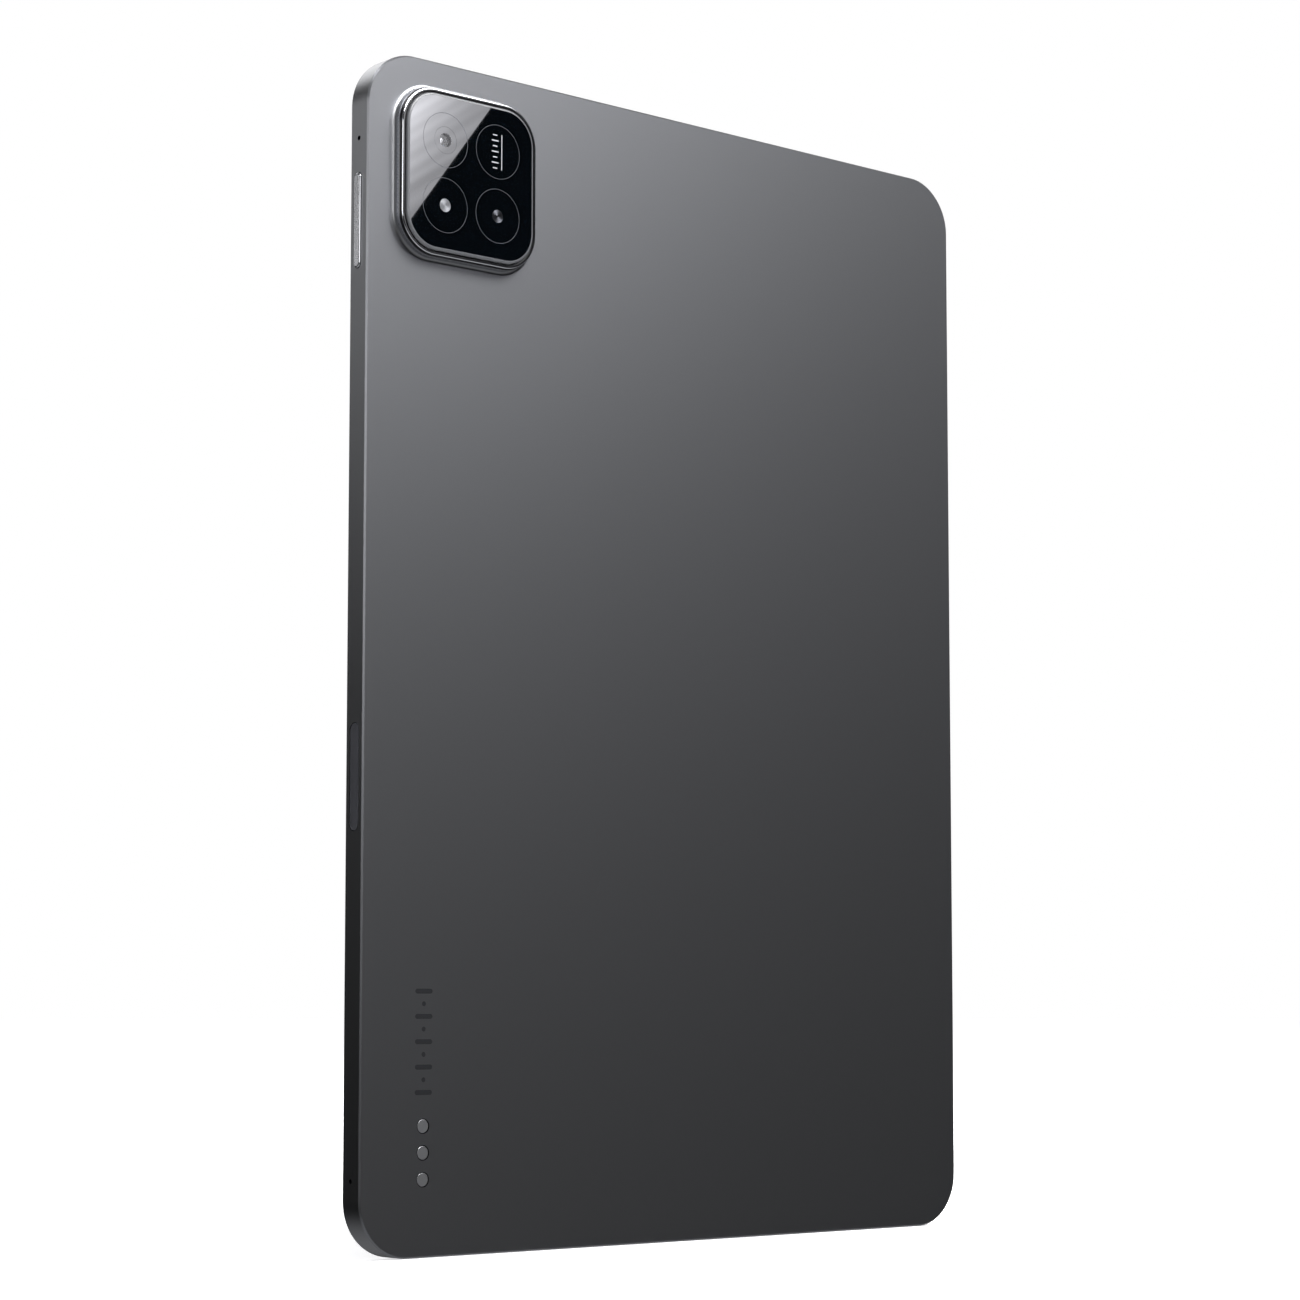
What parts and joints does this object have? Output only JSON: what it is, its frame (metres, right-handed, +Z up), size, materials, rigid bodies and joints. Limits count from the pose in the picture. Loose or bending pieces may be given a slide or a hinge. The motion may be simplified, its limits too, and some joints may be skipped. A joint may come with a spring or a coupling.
{
  "type": "tablet computer",
  "caption": "Slim tablet computer with a metal rear cover, a raised square camera island, side volume rocker, end power key and edge-to-edge cover glass.",
  "frame": {"origin": "centre of the bottom edge of the box round the whole device, which stands upright on its bottom short edge", "axes": "+Z up the long side, from the edge with the charging socket to the edge with the power key; +Y out of the back, where the camera island is; the screen faces -Y; +X is the side with the volume rocker"},
  "size_m": [0.1738, 0.0092, 0.2512],
  "materials": {
    "housing": "bead-blasted and anodised, dark grey",
    "pen_window_cover": "painted to match the housing",
    "cover_glass": "polished, printed black behind",
    "island_glass": "polished, printed black behind",
    "lens_glass": "coated optical glass",
    "lamp_lens": "ribbed clear lens over a silver reflector",
    "sensor_metal": "spun cone under a clear cap",
    "island_metal": "fine-turned and anodised",
    "polished_rim": "diamond-cut bright edge",
    "black_trim": "fine moulded black",
    "sealing": "dull black",
    "contact_metal": "plated, satin",
    "panel": "dark polariser film",
    "backlight": "white moulded frame and light guide",
    "steel": "rolled sheet and turned parts",
    "pouch": "laminated foil pouch",
    "circuit_board": "solder mask",
    "flex": "polyimide film",
    "moulded_plastic": "spark-eroded texture",
    "magnet": "nickel plated",
    "graphite": "pressed graphite film"
  },
  "bodies": {
    "housing": {"rear_cover": "housing", "pen_window": "pen_window_cover", "cover_glass": "cover_glass", "island_glass": "island_glass", "main_lens_cover": "lens_glass", "flash_lens": "lamp_lens", "flash_led": "lamp_lens", "sensor_lens": "sensor_metal", "rear_sensor": "sensor_metal", "island_frame": "island_metal", "island_rim": "polished_rim", "island_band": "black_trim", "contact_holder": "black_trim", "display_gasket": "sealing", "display_adhesive": "sealing", "island_gasket": "sealing", "contact_1": "contact_metal", "contact_2": "contact_metal", "contact_3": "contact_metal", "lcd_panel": "panel", "backlight_unit": "backlight", "power_shield": "steel", "processor_shield": "steel", "usb_shell": "steel", "volume_rocker_bracket": "steel", "power_key_bracket": "steel", "microphone_upper": "steel", "microphone_lower": "steel", "board_screw_1": "steel", "board_screw_2": "steel", "board_screw_3": "steel", "board_screw_4": "steel", "battery_cell_left": "pouch", "battery_cell_right": "pouch", "main_board": "circuit_board", "usb_board": "circuit_board", "battery_board": "circuit_board", "camera_board": "circuit_board", "main_flex": "flex", "display_flex": "flex", "volume_rocker_switch": "flex", "power_key_switch": "flex", "pen_coil": "flex", "speaker_bottom_left": "moulded_plastic", "speaker_bottom_right": "moulded_plastic", "speaker_top_left": "moulded_plastic", "speaker_top_right": "moulded_plastic", "camera_housing": "moulded_plastic", "front_camera": "moulded_plastic", "usb_tongue": "moulded_plastic", "aerial_lower": "moulded_plastic", "aerial_upper": "moulded_plastic", "pen_magnet_lower": "magnet", "pen_magnet_upper": "magnet", "graphite_sheet": "graphite"},
    "volume_rocker": {"volume_rocker": "housing"},
    "power_key": {"power_key": "housing"},
    "lens_carrier": {"lens_barrel": "black_trim", "lens_element": "lens_glass"}
  },
  "joints": [
    {"name": "volume_rocker_tilt", "type": "hinge", "parent": "housing", "child": "volume_rocker", "pos_m": [0.08396, -0.00165, 0.21462], "axis": [0, 1, 0], "range_deg": [-1.3, 1.3], "stiffness_Nm_per_rad": 0.5},
    {"name": "power_key_press", "type": "slide", "parent": "housing", "child": "power_key", "axis": [0, 0, -1], "range_m": [0, 0.00025], "stiffness_N_per_m": 6000},
    {"name": "lens_focus", "type": "slide", "parent": "housing", "child": "lens_carrier", "axis": [0, 1, 0], "range_m": [0, 0.00025], "stiffness_N_per_m": 1200}
  ]
}
